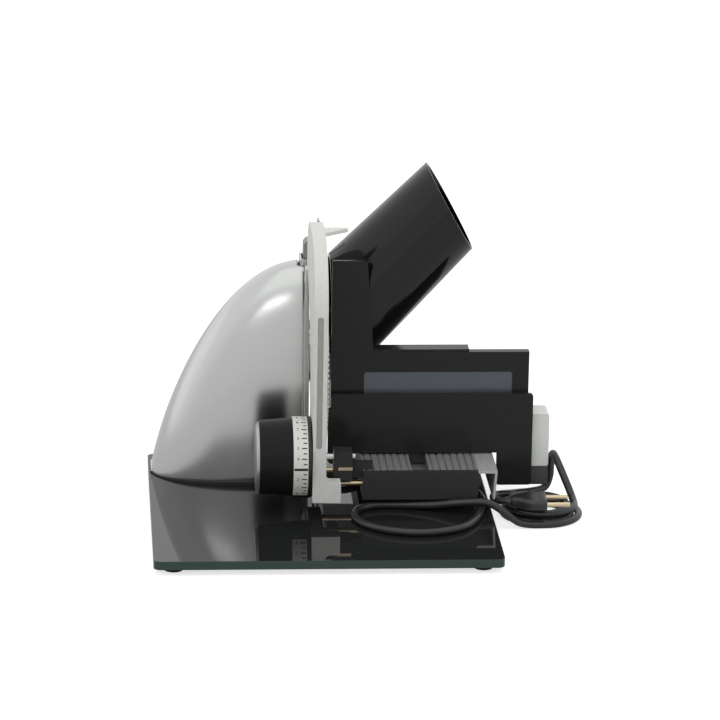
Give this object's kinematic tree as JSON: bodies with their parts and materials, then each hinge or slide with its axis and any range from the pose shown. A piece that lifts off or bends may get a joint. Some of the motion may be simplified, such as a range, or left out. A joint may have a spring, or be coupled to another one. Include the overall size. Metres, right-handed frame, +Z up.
{
  "type": "electric food slicer",
  "caption": "Electric food slicer on a dark glass base: motor dome, toothed round blade, stop plate set by a knob, and a carriage on a rail with a slanted small-food chute.",
  "frame": {"origin": "middle of the floor under the machine, without its mains lead", "axes": "+X from the motor dome to the carriage, +Y away from the user along the carriage's travel, +Z up"},
  "size_m": [0.3538, 0.33, 0.2778],
  "materials": {
    "dark_glass": "polished",
    "pale_glass": "clear",
    "black_rubber": "matt",
    "cord_rubber": "satin",
    "satin_silver": "satin",
    "aluminium": "satin",
    "steel": "brushed",
    "core_steel": "bare",
    "blade_steel": "polished",
    "brass": "bright",
    "gear_nylon": "plain",
    "black_plastic": "satin",
    "grey_plastic": "satin",
    "white_plastic": "satin"
  },
  "bodies": {
    "base": {"base_glass": "dark_glass", "feet": "black_rubber", "chassis": "satin_silver", "chassis_screws": "steel", "motor_dome": "satin_silver", "gear_plate": "steel", "gear_pillars": "steel", "motor_stator": "core_steel", "motor_rear_bell": "satin_silver", "motor_capacitor": "grey_plastic", "idler_pin": "steel", "front_bush": "brass", "rear_bush": "brass", "blade_guard": "steel", "guard_posts": "satin_silver", "switch_bezel": "black_plastic", "switch_pin": "steel", "guide_rods": "brass", "nut_block": "black_plastic", "nut": "brass", "nut_strap": "brass", "rail": "aluminium", "rail_end_cap": "black_plastic", "rail_wing": "aluminium", "rail_standoffs": "black_plastic", "rail_screws": "steel", "cord_gland": "black_rubber", "cord_run": "cord_rubber", "cord_hank": "cord_rubber", "plug_body": "cord_rubber", "plug_pins": "brass"},
    "blade_unit": {"spindle": "steel", "main_gear": "gear_nylon", "blade": "blade_steel", "blade_cap": "blade_steel"},
    "idler": {"idler_gear": "gear_nylon"},
    "armature": {"rotor": "core_steel", "motor_shaft": "steel", "motor_pinion": "steel"},
    "stop": {"stop_plate": "aluminium", "plate_lip": "aluminium"},
    "knob": {"knob_grip": "black_plastic", "knob_cap": "satin_silver", "scale_ring": "white_plastic", "setting_screw": "steel"},
    "carriage": {"carriage_shoe": "grey_plastic", "carriage_table": "aluminium", "carriage_panel": "black_plastic", "side_grip": "white_plastic", "grip_skid": "grey_plastic"},
    "chute": {"chute_box": "black_plastic", "chute_tube": "black_plastic", "chute_front": "black_plastic", "window_pane": "pale_glass"},
    "switch": {"switch_lever": "grey_plastic"}
  },
  "joints": [
    {"name": "blade_spin", "type": "hinge", "parent": "base", "child": "blade_unit", "pos_m": [-0.02, 0.07, 0.107], "axis": [1, 0, 0], "continuous": true},
    {"name": "idler_spin", "type": "hinge", "parent": "base", "child": "idler", "pos_m": [-0.06, 0.04943, 0.08249], "axis": [1, 0, 0], "continuous": true},
    {"name": "armature_spin", "type": "hinge", "parent": "base", "child": "armature", "pos_m": [-0.09, 0.063, 0.058], "axis": [1, 0, 0], "continuous": true},
    {"name": "plate_slide", "type": "slide", "parent": "base", "child": "stop", "axis": [1, 0, 0], "range_m": [-0.0136, 0.0044]},
    {"name": "knob_turn", "type": "hinge", "parent": "stop", "child": "knob", "pos_m": [-0.06, -0.04, 0.0565], "axis": [1, 0, 0], "range_deg": [-74, 227]},
    {"name": "carriage_slide", "type": "slide", "parent": "base", "child": "carriage", "axis": [0, 1, 0], "range_m": [-0.028, 0.09]},
    {"name": "chute_lift", "type": "slide", "parent": "carriage", "child": "chute", "axis": [0, 0, 1], "range_m": [0, 0.09]},
    {"name": "switch_tilt", "type": "hinge", "parent": "base", "child": "switch", "pos_m": [-0.035, 0.065, 0.192], "axis": [0, 1, 0], "range_deg": [-12, 12]}
  ],
  "couplings": [
    {"joint": "idler_spin", "follows": "armature_spin", "ratio": -0.33333},
    {"joint": "blade_spin", "follows": "armature_spin", "ratio": 0.093333},
    {"joint": "knob_turn", "follows": "plate_slide", "rad_per_m": -290.89}
  ]
}
